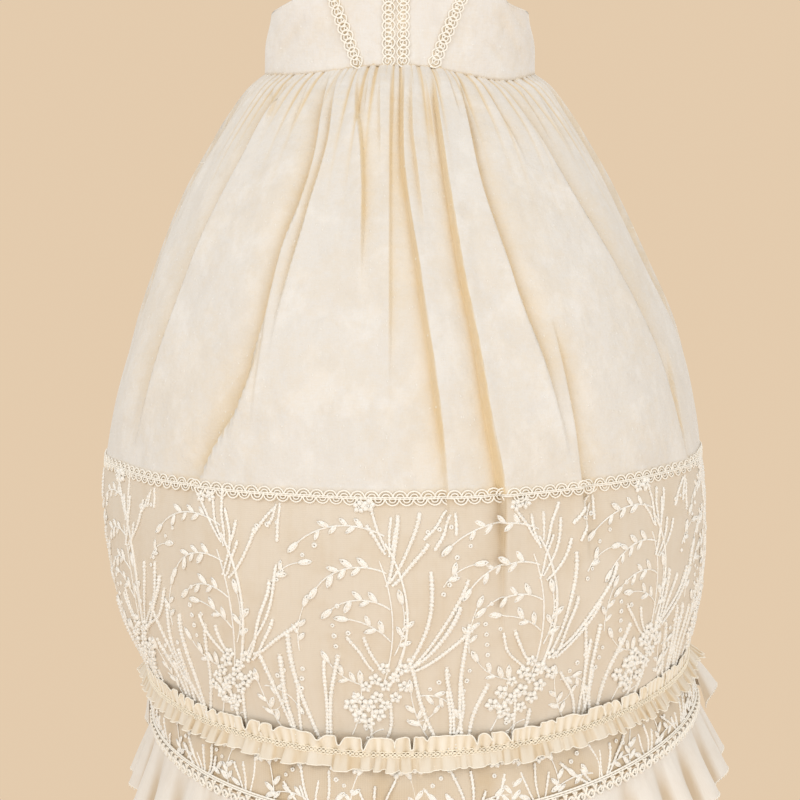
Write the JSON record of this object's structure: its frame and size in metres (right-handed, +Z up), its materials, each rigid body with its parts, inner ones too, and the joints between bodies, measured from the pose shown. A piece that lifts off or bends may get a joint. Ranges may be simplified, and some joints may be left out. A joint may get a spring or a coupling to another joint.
{
  "type": "christening gown",
  "caption": "Sleeveless baby christening gown, filled out as if worn: gathered bell skirt over an embroidered net tier, headed ruffle and organza flounces.",
  "frame": {"origin": "midway between the two shoulder seams, where the wearer's shoulders hold the gown up", "axes": "+Z up along the gown, +Y from the front to the back, +X to the viewer's right from the front"},
  "size_m": [0.4057, 0.3959, 0.61],
  "materials": {
    "cotton": "matte ivory cotton with a faint slub and a soft sheen on its folds",
    "embroidered_net": "fine beige net over a lining, with raised ivory cord embroidery",
    "ruffle_cloth": "matte cream cotton, pleated, with a bright rolled edge",
    "organza": "smooth, thin, slightly sheer cream organza with a fine picot edge",
    "lace_braid": "matte ivory cotton lace braid of small rings on a twisted cord",
    "button": "pale pearl, soft gloss"
  },
  "bodies": {
    "root": {"bodice_front": "cotton", "bodice_back_left": "cotton", "bodice_back_right": "cotton", "braid_side_left": "lace_braid", "braid_centre_left": "lace_braid", "braid_centre_right": "lace_braid", "braid_side_right": "lace_braid", "button_1": "button", "button_2": "button", "button_3": "button", "skirt": "cotton", "upper_braid": "lace_braid", "embroidered_tier": "embroidered_net", "ruffle": "ruffle_cloth", "lower_tier": "embroidered_net", "back_flounce": "organza", "lower_braid": "lace_braid", "hem_flounce": "organza"}
  },
  "joints": []
}
